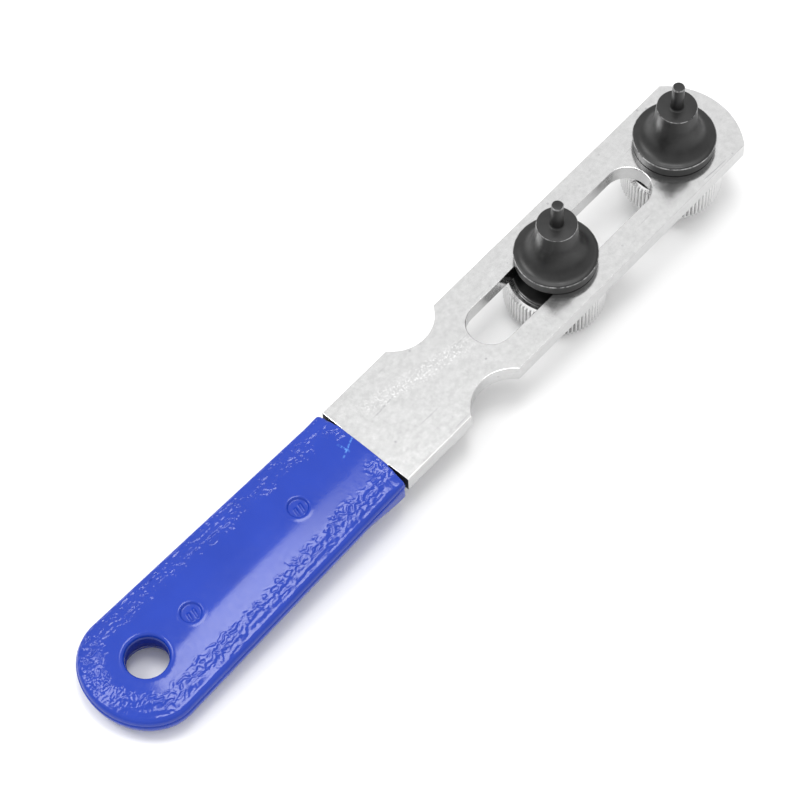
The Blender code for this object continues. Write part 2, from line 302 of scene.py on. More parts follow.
def black_steel(name, tone, rough):
    n = Nodes(name)
    n.set(Metallic=0.0, Roughness=rough)
    n.shader.inputs["IOR"].default_value = 1.43
    cloud = n.noise(500.0, 3.0, 0.6)
    fine = n.noise(4200.0, 2.0, 0.6)
    colour = n.ramp(cloud, (0.35, tone * 0.7), (0.65, tone * 1.3))
    n.into(colour, "Base Color")
    n.into(n.scaled(cloud, rough - 0.05, rough + 0.08, 0.3, 0.7), "Roughness")
    n.into(n.bump(fine, 0.1, 0.00001), "Normal")
    return n.mat


def worn_edge():
    n = Nodes("worn_black_edge")
    n.set(Metallic=0.7, Roughness=0.32)
    patch = n.noise(900.0, 3.0, 0.7)
    colour = n.ramp(patch, (0.38, 0.05), (0.62, 0.36))
    n.into(colour, "Base Color")
    return n.mat


def chrome_steel(name, low, high, rough):
    n = Nodes(name)
    n.set(Metallic=1.0, Roughness=rough)
    cloud = n.noise(700.0, 3.0, 0.6)
    fine = n.noise(3600.0, 2.0, 0.6)
    n.into(n.ramp(cloud, (0.3, low), (0.7, high)), "Base Color")
    n.into(n.scaled(cloud, rough - 0.04, rough + 0.06, 0.3, 0.7), "Roughness")
    n.into(n.bump(fine, 0.1, 0.00001), "Normal")
    return n.mat


STEEL = plated_steel()
BLUE = grip_plastic()
BORE_PAINTED_SHADE = bore_plastic_painted_shade()
BLACK = black_steel("black_oxide_steel", 0.008, 0.35)
WASHER_BLACK = black_steel("black_washer_steel", 0.010, 0.38)
WORN = worn_edge()
CHROME = chrome_steel("chrome_steel", 0.72, 0.82, 0.2)
# Near-black steel for the bar's shoulder end faces beside the tang: painted shade of the gap at the grip's
# mouth.
GAP_PAINTED_SHADE = black_steel("shadowed_cut_edge", 0.006, 0.6)
# Darker steel for the bottoms of the knurl grooves: painted shade of the grooves, not a different finish.
GROOVE_PAINTED_SHADE = chrome_steel("knurl_groove_painted_shade", 0.26, 0.4, 0.4)

# --------------------------------------------------------------------------
# Mesh helpers: lengths below are in millimetres of the tool's frame
# --------------------------------------------------------------------------


def add_piece(name, mesh, materials, body, node, smooth=35.0, weighted=True):
    mesh.transform(TOOL)
    for mat in materials:
        mesh.materials.append(mat)
    mesh.polygons.foreach_set("use_smooth", [True] * len(mesh.polygons))
    if smooth:
        mesh.set_sharp_from_angle(angle=math.radians(smooth))
    mesh.update()
    obj = bpy.data.objects.new(name, mesh)
    bpy.context.scene.collection.objects.link(obj)
    if weighted:
        even = obj.modifiers.new("even_shading", "WEIGHTED_NORMAL")
        even.mode = "FACE_AREA"
        even.keep_sharp = True
    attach(obj, body)
    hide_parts(node)
    return obj


def mesh_of(name, verts, faces, face_materials=None):
    mesh = bpy.data.meshes.new(name)
    mesh.from_pydata([tuple(c * MM for c in v) for v in verts], [], faces)
    if face_materials is not None:
        mesh.polygons.foreach_set("material_index", face_materials)
    mesh.validate()
    return mesh


def turned(name, cx, profile, segments, radius=None, closed=False):
    """Spins a profile round the upright line at (cx, 0). profile: (r, z, material) from the
    top, down the outside. A point with r = 0 is one vertex. radius(r, angle, z) may shape a
    ring. closed joins the last ring to the first."""
    verts, rings, faces, mats = [], [], [], []
    angles = [math.tau * i / segments for i in range(segments)]
    for r, z, _ in profile:
        if r == 0.0:
            rings.append([len(verts)])
            verts.append((cx, 0.0, z))
            continue
        ring = []
        for a in angles:
            rr = radius(r, a, z) if radius else r
            ring.append(len(verts))
            verts.append((cx + rr * math.cos(a), rr * math.sin(a), z))
        rings.append(ring)
    pairs = list(zip(range(len(rings) - 1), range(1, len(rings))))
    if closed:
        pairs.append((len(rings) - 1, 0))
    for i, j in pairs:
        a, b = rings[i], rings[j]
        mat = profile[j][2]
        for k in range(segments):
            m = (k + 1) % segments
            if len(a) == 1:
                faces.append((a[0], b[k], b[m]))
            elif len(b) == 1:
                faces.append((a[k], b[0], a[m]))
            else:
                faces.append((a[k], b[k], b[m], a[m]))
            mats.append(mat)
    return mesh_of(name, verts, faces, mats)


def rounded(points, radii, steps=3):
    """A profile with some corners rounded: points (r, z, material), radii per point."""
    out = []
    for i, (r, z, mat) in enumerate(points):
        size = radii.get(i, 0.0)
        if not size or i in (0, len(points) - 1):
            out.append((r, z, mat))
            continue
        here = Vector((r, z))
        before = Vector(points[i - 1][:2]) - here
        after = Vector(points[i + 1][:2]) - here
        size_a = min(size, before.length * 0.49)
        size_b = min(size, after.length * 0.49)
        a = here + before.normalized() * size_a
        b = here + after.normalized() * size_b
        for k in range(steps + 1):
            t = k / steps
            p = a * (1 - t) ** 2 + here * 2 * t * (1 - t) + b * t**2
            out.append((p.x, p.y, mat))
    return out


def smoothstep(x):
    x = np.clip(x, 0.0, 1.0)
    return x * x * (3 - 2 * x)


def hash01(ix, iy, seed):
    """A repeatable value in 0..1 for each whole-number cell."""
    n = (ix.astype(np.int64) * 374761393 + iy.astype(np.int64) * 668265263 + seed * 1442695041) & 0xFFFFFFFF
    n = ((n ^ (n >> 13)) * 1274126177) & 0xFFFFFFFF
    n = (n ^ (n >> 16)) & 0xFFFFFFFF
    return n / 4294967295.0


def value_noise(x, y, seed):
    ix, iy = np.floor(x), np.floor(y)
    fx, fy = smoothstep(x - ix), smoothstep(y - iy)
    a = hash01(ix, iy, seed)
    b = hash01(ix + 1, iy, seed)
    c = hash01(ix, iy + 1, seed)
    d = hash01(ix + 1, iy + 1, seed)
    return (a * (1 - fx) + b * fx) * (1 - fy) + (c * (1 - fx) + d * fx) * fy


def cells(x, y, seed):
    """Nearest and second nearest cell-point distances, and the nearest point itself."""
    ix, iy = np.floor(x), np.floor(y)
    best = np.full(x.shape, 1e9)
    second = np.full(x.shape, 1e9)
    near_x = np.zeros(x.shape)
    near_y = np.zeros(x.shape)
    for dx in (-1, 0, 1):
        for dy in (-1, 0, 1):
            px = ix + dx + 0.12 + 0.76 * hash01(ix + dx, iy + dy, seed)
            py = iy + dy + 0.12 + 0.76 * hash01(ix + dx, iy + dy, seed + 7)
            d = np.hypot(px - x, py - y)
            closer = d < best
            second = np.where(closer, best, np.minimum(second, d))
            near_x = np.where(closer, px, near_x)
            near_y = np.where(closer, py, near_y)
            best = np.where(closer, d, best)
    return best, second, near_x, near_y


# --------------------------------------------------------------------------
# Bar
# --------------------------------------------------------------------------

BAR_HALF = 9.0
BAR_THICK = 3.2
TIP_X, TIP_R = 73.6, 12.64
NOTCH_X, NOTCH_Y, NOTCH_R = 20.7, 12.7, 6.72
SLOT_HALF, SLOT_NEAR, SLOT_FAR = 3.95, 29.8, 63.5
SHOULDER = 0.2
TANG_HALF, TANG_END, TANG_R = 5.0, -43.5, 1.5


def arc(cx, cy, r, start_deg, end_deg, count):
    out = []
    for i in range(count + 1):
        a = math.radians(start_deg + (end_deg - start_deg) * i / count)
        out.append((cx + r * math.cos(a), cy + r * math.sin(a)))
    return out


def extruded(name, outline, low, high):
    """A closed outline as a solid slab between two heights, from one face pushed up."""
    mesh = bpy.data.meshes.new(name)
    work = bmesh.new()
    verts = [work.verts.new((x * MM, y * MM, low * MM)) for x, y in outline]
    face = work.faces.new(verts)
    pushed = bmesh.ops.extrude_face_region(work, geom=[face], use_keep_orig=True)
    moved = [g for g in pushed["geom"] if isinstance(g, bmesh.types.BMVert)]
    bmesh.ops.translate(work, verts=moved, vec=(0.0, 0.0, (high - low) * MM))
    bmesh.ops.recalc_face_normals(work, faces=work.faces)
    work.to_mesh(mesh)
    work.free()
    return mesh


def make_bar():
    swing = math.degrees(math.asin(BAR_HALF / TIP_R))
    upper = arc(TIP_X, 0.0, TIP_R, 0.0, swing, 40)
    chord = math.sqrt(NOTCH_R**2 - (NOTCH_Y - BAR_HALF) ** 2)
    turn = math.degrees(math.atan2(chord, NOTCH_Y - BAR_HALF))
    upper += arc(NOTCH_X, NOTCH_Y, NOTCH_R, -90.0 + turn, -90.0 - turn, 48)
    upper += [(SHOULDER, BAR_HALF), (SHOULDER, TANG_HALF)]
    upper += arc(TANG_END + TANG_R, TANG_HALF - TANG_R, TANG_R, 90.0, 180.0, 8)
    outline = upper + [(x, -y) for x, y in reversed(upper) if y > 1e-7]
    body = bpy.data.objects.new("bar_body", extruded("bar_body", outline, -BAR_THICK, 0.0))
    slot_line = arc(SLOT_NEAR, 0.0, SLOT_HALF, 90.0, 270.0, 48) + arc(
        SLOT_FAR, 0.0, SLOT_HALF, -90.0, 90.0, 48
    )
    edge = math.degrees(math.asin(SLOT_HALF / 4.5))
    key_line = arc(FIXED_X, 0.0, 4.5, -edge, edge, 16) + arc(
        FIXED_X, 0.0, 4.5, 180.0 - edge, 180.0 + edge, 16
    )
    tools = [
        bpy.data.objects.new("slot_tool", extruded("slot_tool", slot_line, -6.0, 3.0)),
        bpy.data.objects.new("key_tool", extruded("key_tool", key_line, -6.0, 3.0)),
    ]
    for obj in [body, *tools]:
        bpy.context.scene.collection.objects.link(obj)
    for tool in tools:
        cut = body.modifiers.new(tool.name, "BOOLEAN")
        cut.operation = "DIFFERENCE"
        cut.object = tool
    edges = body.modifiers.new("edges", "BEVEL")
    edges.width = 0.22 * MM
    edges.segments = 3
    edges.limit_method = "ANGLE"
    edges.angle_limit = math.radians(50.0)
    edges.harden_normals = False
    graph = bpy.context.evaluated_depsgraph_get()
    mesh = bpy.data.meshes.new_from_object(body.evaluated_get(graph))
    mesh.name = "bar_plate"
    work = bmesh.new()
    work.from_mesh(mesh)
    bmesh.ops.remove_doubles(work, verts=work.verts[:], dist=0.001 * MM)
    bmesh.ops.dissolve_degenerate(work, edges=work.edges[:], dist=0.001 * MM)
    work.to_mesh(mesh)
    work.free()
    for obj in [body, *tools]:
        bpy.data.objects.remove(obj)
    # The shoulder's end faces beside the tang take the near-black steel: painted shade where the gap at the
    # grip's mouth lies in shadow.
    for face in mesh.polygons:
        c = face.center / MM
        if face.normal.x < -0.3 and abs(c.x - SHOULDER) < 0.4 and abs(c.y) > TANG_HALF - 0.1:
            face.material_index = 1
    return add_piece(
        "bar_plate", mesh, [STEEL, GAP_PAINTED_SHADE], "bar_and_grip", "bar", 40.0
    )


# --------------------------------------------------------------------------
# Bits, washers and nuts
# --------------------------------------------------------------------------

BIT_SEGMENTS = 128
PIN_R, PIN_TOP = 1.01, 15.5
TURRET_R, TURRET_TOP = 3.32, 10.14
FLANGE_R, FLANGE_TOP = 6.75, 2.03
NECK_R, NECK_FLAT, NECK_BOTTOM = 4.2, 3.6, -2.95
STUD_R, STUD_BOTTOM = 3.0, -9.8
PITCH = 1.0


def bit_profile():
    black, worn = 0, 1
    top = [
        (0.0, PIN_TOP, black),
        (PIN_R - 0.17, PIN_TOP, black),
        (PIN_R, PIN_TOP - 0.2, worn),
        (PIN_R, TURRET_TOP + 0.2, black),
        (PIN_R + 0.2, TURRET_TOP, black),
        (TURRET_R - 0.12, TURRET_TOP, black),
        (TURRET_R, TURRET_TOP - 0.14, worn),
    ]
    points = rounded(top, {1: 0.04, 2: 0.06, 3: 0.12, 4: 0.12, 5: 0.04}, 3)
    foot_r, foot_z = 6.5, FLANGE_TOP + 0.14
    waist_r, waist_z = 3.52, 7.3
    steps = 26
    for i in range(steps + 1):
        a = math.radians(90.0 * i / steps)
        points.append(
            (
                foot_r - (foot_r - waist_r) * math.cos(a),
                waist_z - (waist_z - foot_z) * math.sin(a),
                black,
            )
        )
    under = [
        (6.74, FLANGE_TOP + 0.02, black),
        (6.86, FLANGE_TOP - 0.07, worn),
        (FLANGE_R, FLANGE_TOP - 0.4, black),
        (FLANGE_R, 0.16, black),
        (FLANGE_R - 0.12, 0.03, black),
        (NECK_R, 0.02, black),
        (NECK_R, 0.0, black),
        (NECK_R, NECK_BOTTOM, black),
        (STUD_R, NECK_BOTTOM - 0.01, black),
    ]
    points += rounded(under, {}, 2)
    rows = 66
    low = STUD_BOTTOM + 0.3
    for i in range(1, rows + 1):
        z = NECK_BOTTOM - 0.01 + (low - NECK_BOTTOM) * i / rows
        points.append((STUD_R, z, black))
    points += [
        (STUD_R - 0.42, STUD_BOTTOM, black),
        (0.0, STUD_BOTTOM, black),
    ]
    return points


def bit_radius(r, a, z):
    if r == NECK_R and z <= 0.02:
        flat = abs(math.sin(a))
        return min(r, NECK_FLAT / flat) if flat > 1e-6 else r
    if r == STUD_R and z < NECK_BOTTOM - 0.2:
        phase = (z / PITCH + a / math.tau) % 1.0
        return r - 0.28 * abs(2.0 * phase - 1.0) ** 1.3
    return r


def make_bit(name, cx, body):
    mesh = turned(name, cx, bit_profile(), BIT_SEGMENTS, bit_radius)
    return add_piece(
        name + "_turned", mesh, [BLACK, WORN], body, name, 30.0
    )


def make_washer(name, cx, body):
    top, bottom, out, bore = -3.22, -3.92, 7.0, 3.3
    profile = rounded(
        [
            (bore, top - 0.05, 0),
            (bore + 0.05, top, 0),
            (out - 0.1, top, 0),
            (out, top - 0.1, 0),
            (out, bottom + 0.1, 0),
            (out - 0.1, bottom, 0),
            (bore + 0.05, bottom, 0),
            (bore, bottom + 0.05, 0),
        ],
        {3: 0.05, 4: 0.05},
        2,
    )
    mesh = turned(name, cx, profile, 96, closed=True)
    return add_piece(
        name + "_ring", mesh, [WASHER_BLACK], body, name, 30.0
    )


NUT_R, NUT_ROOT, NUT_TOP, NUT_BOTTOM = 8.5, 8.12, -3.95, -10.6
TEETH = 78
PER_TOOTH = 8
CHAMFER = 0.6


def tooth(a):
    """1 on a tooth's flat crest, 0 at the bottom of a groove; one crest centred on -X."""
    phase = ((a - math.pi) / math.tau * TEETH) % 1.0
    x = abs(phase - 0.5) * 2.0
    return float(smoothstep((x - 0.18) / 0.5))


def make_nut(name, cx, body):
    inner = NUT_R - CHAMFER - 0.05
    profile = [(3.3, NUT_TOP - 0.35, 0), (3.65, NUT_TOP, 0), (inner - 0.04, NUT_TOP, 0)]
    steps = 7
    for i in range(steps + 1):
        t = i / steps
        profile.append((inner + (NUT_R - inner) * t, NUT_TOP - 0.03 - (CHAMFER - 0.03) * t, 0))
    profile.append((NUT_R, NUT_TOP - CHAMFER - 0.5, 0))
    profile.append((NUT_R, (NUT_TOP + NUT_BOTTOM) / 2, 0))
    profile.append((NUT_R, NUT_BOTTOM + CHAMFER + 0.5, 0))
    for i in range(steps + 1):
        t = 1.0 - i / steps
        profile.append(
            (inner + (NUT_R - inner) * t, NUT_BOTTOM + 0.03 + (CHAMFER - 0.03) * t, 0)
        )
    profile += [(inner - 0.04, NUT_BOTTOM, 0), (3.65, NUT_BOTTOM, 0), (3.3, NUT_BOTTOM + 0.35, 0)]
    depth = NUT_R - NUT_ROOT

    def knurl(r, a, z):
        if r < inner:
            return r
        return min(r, NUT_R - depth * (1.0 - tooth(a)))

    mesh = turned(name, cx, profile, TEETH * PER_TOOTH, knurl, closed=True)
    # Faces at the bottom of each knurl groove take the darker steel: painted shade in the grooves.
    for face in mesh.polygons:
        c = face.center / MM
        if NUT_BOTTOM + 0.5 < c.z < NUT_TOP - 0.42:
            reach = math.hypot(c.x - cx, c.y)
            if NUT_ROOT - 0.05 < reach < NUT_ROOT + 0.1:
                face.material_index = 1
    return add_piece(name + "_knurled", mesh, [CHROME, GROOVE_PAINTED_SHADE], body, name, 28.0)


# --------------------------------------------------------------------------
# Grip
# --------------------------------------------------------------------------

MOUTH_X, MOUTH_HALF = -0.2, 9.3
HEEL_X, HEEL_A, HEEL_B = -49.4, 8.9, 10.45
TOP, BOTTOM = 1.45, -4.2
TOP_EDGE_R, BACK_EDGE_R, MOUTH_EDGE_R = 1.2, 2.9, 0.32
CORNER_R = 0.8
SET_BACK = 0.12
HOLE_X, HOLE_R, LIP_R = -47.9, 3.4, 4.05
MARKS = (-14.85, -38.35)
MARK_R, MARK_DEPTH = 1.72, 0.36
POCKET_HALF, POCKET_TOP, POCKET_LOW, POCKET_END = 5.03, 0.03, -3.23, -43.6
PARTING_Z = -0.85
BACK_CROWN, CROWN_REACH = 0.14, 9.0
RIDGE, ROOF_SLOPE = 7.9, 0.06
STEP = 0.17

_squash = HEEL_A / HEEL_B
_run = (MOUTH_X - HEEL_X) / _squash
TANGENT = math.atan2(MOUTH_HALF, _run) + math.acos(HEEL_B / math.hypot(_run, MOUTH_HALF))
SIDE_END = (HEEL_X + HEEL_A * math.cos(TANGENT), HEEL_B * math.sin(TANGENT))
_slope = (SIDE_END[1] - MOUTH_HALF) / (SIDE_END[0] - MOUTH_X)
SIDE_N = (-_slope / math.hypot(1.0, _slope), 1.0 / math.hypot(1.0, _slope))
SIDE_C = SIDE_N[0] * MOUTH_X + SIDE_N[1] * MOUTH_HALF


def side_offset(x, y):
    """How far inside the long sides and the heel a point lies."""
    flank = SIDE_C - (SIDE_N[0] * x + SIDE_N[1] * np.abs(y))
    dx = x - HEEL_X
    rho = np.sqrt((dx / HEEL_A) ** 2 + (y / HEEL_B) ** 2) + 1e-9
    steep = np.sqrt((dx / HEEL_A**2) ** 2 + (y / HEEL_B**2) ** 2) / rho + 1e-9
    heel = (1.0 - rho) / steep
    return np.where(x > SIDE_END[0], flank, heel)


def grip_loop():
    """The plan outline, anticlockwise from the middle of the mouth: points, outward
    normals, and the radii of the upper and lower edge at each."""
    cx = MOUTH_X - SET_BACK - CORNER_R
    cy = (SIDE_C - CORNER_R - SIDE_N[0] * cx) / SIDE_N[1]
    turn = math.atan2(SIDE_N[1], SIDE_N[0])
    rows = []

    def put(x, y, nx, ny, top_r, back_r):
        rows.append((x, y, nx, ny, top_r, back_r))

    half = [POCKET_HALF * i / 26 for i in range(26)]
    half += [POCKET_HALF + (cy - POCKET_HALF) * i / 20 for i in range(20)]
    for y in half:
        back = SET_BACK * float(smoothstep((y - 5.1) / 0.5))
        grow = float(smoothstep(1.0 - (cy - y) / 2.2))
        r = MOUTH_EDGE_R + 0.3 * grow
        put(MOUTH_X - back, y, 1.0, 0.0, r, r)
    count = max(10, int(CORNER_R * turn / STEP))
    for i in range(count):
        a = turn * i / count
        r = MOUTH_EDGE_R + 0.3 + 0.12 * i / count
        put(cx + CORNER_R * math.cos(a), cy + CORNER_R * math.sin(a), math.cos(a), math.sin(a), r, r)
    begin = Vector((cx, cy)) + Vector(SIDE_N) * CORNER_R
    end = Vector(SIDE_END)
    length = (end - begin).length
    count = int(length / STEP)
    corner_edge = MOUTH_EDGE_R + 0.42
    for i in range(count):
        p = begin.lerp(end, i / count)
        s = length * i / count
        top_r = corner_edge + (TOP_EDGE_R - corner_edge) * float(smoothstep(s / 2.5))
        back_r = corner_edge + (BACK_EDGE_R - corner_edge) * float(smoothstep(s / 9.0))
        put(p.x, p.y, SIDE_N[0], SIDE_N[1], top_r, back_r)
    swing = math.pi - TANGENT
    count = int(9.7 * swing / STEP)
    for i in range(count):
        a = TANGENT + swing * i / count
        n = Vector((math.cos(a) / HEEL_A, math.sin(a) / HEEL_B)).normalized()
        put(HEEL_X + HEEL_A * math.cos(a), HEEL_B * math.sin(a), n.x, n.y, TOP_EDGE_R, BACK_EDGE_R)
    put(HEEL_X - HEEL_A, 0.0, -1.0, 0.0, TOP_EDGE_R, BACK_EDGE_R)
    for i in reversed(range(1, len(rows) - 1)):
        x, y, nx, ny, top_r, back_r = rows[i]
        put(x, -y, nx, -ny, top_r, back_r)
    data = np.array(rows)
    return data[:, 0:2], data[:, 2:4], data[:, 4], data[:, 5]


def crown(x, y, high):
    """How far the broad face falls away towards its long sides and heel."""
    inside = side_offset(x, y)
    if not high:
        return -BACK_CROWN * np.clip(1.0 - inside / CROWN_REACH, 0.0, 1.0) ** 2
    away = RIDGE - inside
    roof = ROOF_SLOPE * (np.sqrt(away**2 + 0.36) + away) / 2.0
    near = 3.7 - inside
    return -roof - 0.17 * (np.sqrt(near**2 + 0.12) + near) / 2.0


def grain(x, y, seed):
    """Leather grain in the border of a broad face: long pits sunk between thin connected
    ridges, the pits running along the tool. 0 on the smooth field."""
    bend = 0.9 * (value_noise(x * 0.55 + 9.0, y * 0.55, seed + 31) - 0.5)
    warp_x = 1.1 * (value_noise(x * 0.8, y * 0.8, seed + 33) - 0.5)
    warp_y = 0.8 * (value_noise(x * 1.3, y * 1.3, seed + 57) - 0.5) + 0.5 * bend
    sx, sy = 1.75, 0.72
    u = (x + warp_x) / sx + 0.2 * (y + warp_y) / sy
    v = (y + warp_y) / sy
    near, second, cx, cy = cells(u, v, seed)
    centre_y = cy * sy
    centre_x = (cx - 0.2 * cy) * sx
    inside = side_offset(centre_x, centre_y)
    wander = 1.1 * (value_noise(centre_x * 0.45, centre_y * 0.45, seed + 91) - 0.5)
    reach = MOUTH_X - centre_x
    inner = np.minimum(4.4 - 0.5 * smoothstep((8.0 - reach) / 6.0) + wander - inside, 9.0)
    end = np.where(np.abs(centre_y) > 3.4, 2.3 + 1.6 * wander - reach, -1.0)
    on = smoothstep(np.maximum(inner, end) / 0.3)
    outer = smoothstep((side_offset(x, y) - 0.1) / 0.6)
    size = hash01(np.floor(cx * 3.1), np.floor(cy * 2.7), seed + 5)
    wall = 0.05 + 0.16 * value_noise(x * 1.7, y * 2.3, seed + 71)
    pit = smoothstep((second - near - wall) / 0.36)
    offset = side_offset(x, y)
    upper_side = smoothstep(y / 2.0)
    worn = 0.3 + 0.7 * np.maximum(smoothstep((offset - 1.5) / 1.8), upper_side)
    depth = (0.06 + 0.03 * upper_side) * (0.55 + 0.6 * size) * worn
    fine = value_noise(x * 0.42 + 3.0 * warp_y, offset * 2.1 + 0.5 * warp_y, seed + 3)
    lines = (0.05 + 0.13 * upper_side) * (fine - 0.5)
    swell = 0.04 * on * outer * (value_noise(x * 0.7, y * 1.1, seed + 13) - 0.2)
    return (-depth * pit + lines) * on * outer + swell


def mark_height(x, y):
    """The round moulding marks: a sunk floor with two little bars across it."""
    h = np.zeros(x.shape)
    for mx in MARKS:
        d = np.hypot(x - mx, y)
        sunk = smoothstep((MARK_R + 0.1 - d) / 0.36)
        lip = 0.04 * np.exp(-(((d - MARK_R - 0.33) / 0.24) ** 2))
        bars = np.zeros(x.shape)
        for k in (-0.45, 0.55):
            bars = np.maximum(bars, smoothstep(1.0 - np.abs(x - mx - 0.3 * y - 1.05 * k) / 0.42))
        bars *= smoothstep((MARK_R - 0.25 - d) / 0.35) * smoothstep((0.6 - y) / 0.5)
        h += -MARK_DEPTH * sunk + (0.3 + 0.13 * y) * bars * sunk + lip
    return h


def face_points(inner, seed, band_step):
    """Points for one broad face: its edge loop, the hole's lip, and the field between."""
    pts = [tuple(p) for p in inner]
    edge_count = len(pts)
    lip = 112
    for i in range(lip):
        a = math.tau * i / lip
        pts.append((HOLE_X + LIP_R * math.cos(a), LIP_R * math.sin(a)))
    fixed = [(i, (i + 1) % edge_count) for i in range(edge_count)]
    fixed += [(edge_count + i, edge_count + (i + 1) % lip) for i in range(lip)]
    margin = side_offset(inner[:, 0], inner[:, 1])
    order = np.argsort(inner[: edge_count // 2, 0])
    line_x = inner[: edge_count // 2, 0][order]
    line_d = margin[: edge_count // 2][order]
    mouth = inner[:, 0].max()
    for h, keep in ((band_step, "band"), (0.4, "field"), (0.1, "mark")):
        xs = np.arange(HEEL_X - HEEL_A, MOUTH_X, h)
        ys = np.arange(-HEEL_B - h, HEEL_B, h * 0.866)
        gx, gy = np.meshgrid(xs, ys)
        gx[1::2] += h / 2
        gx, gy = gx.ravel(), gy.ravel()
        gap = side_offset(gx, gy)
        clear = np.interp(gx, line_x, line_d) + 0.6 * h
        from_mark = np.min([np.hypot(gx - m, gy) for m in MARKS], axis=0)
        front = mouth - SET_BACK * smoothstep((np.abs(gy) - 4.9) / 0.5)
        ok = (gap > clear) & (np.hypot(gx - HOLE_X, gy) > LIP_R + 0.7 * h)
        ok &= (gx < front - 0.6 * h) & ~((gx > front - 2.6) & (np.abs(gy) > 6.8) & (gap < 2.2))
        rim = np.minimum(gap, np.where(np.abs(gy) > 2.9, MOUTH_X - gx + 2.1, 99.0))
        if keep == "band":
            ok &= (rim <= 5.5) & (from_mark > 2.75)
        elif keep == "field":
            ok &= (rim > 5.5 + 0.15) & (from_mark > 2.85)
        else:
            ok &= from_mark <= 2.7
        jitter = 0.14 * h
        cell_x, cell_y = np.floor(gx / h * 1.7), np.floor(gy / h * 1.9)
        jx = (hash01(cell_x, cell_y, seed) - 0.5) * jitter
        jy = (hash01(cell_x, cell_y, seed + 1) - 0.5) * jitter
        pts += list(zip((gx + jx)[ok], (gy + jy)[ok]))
    return pts, fixed, edge_count, lip


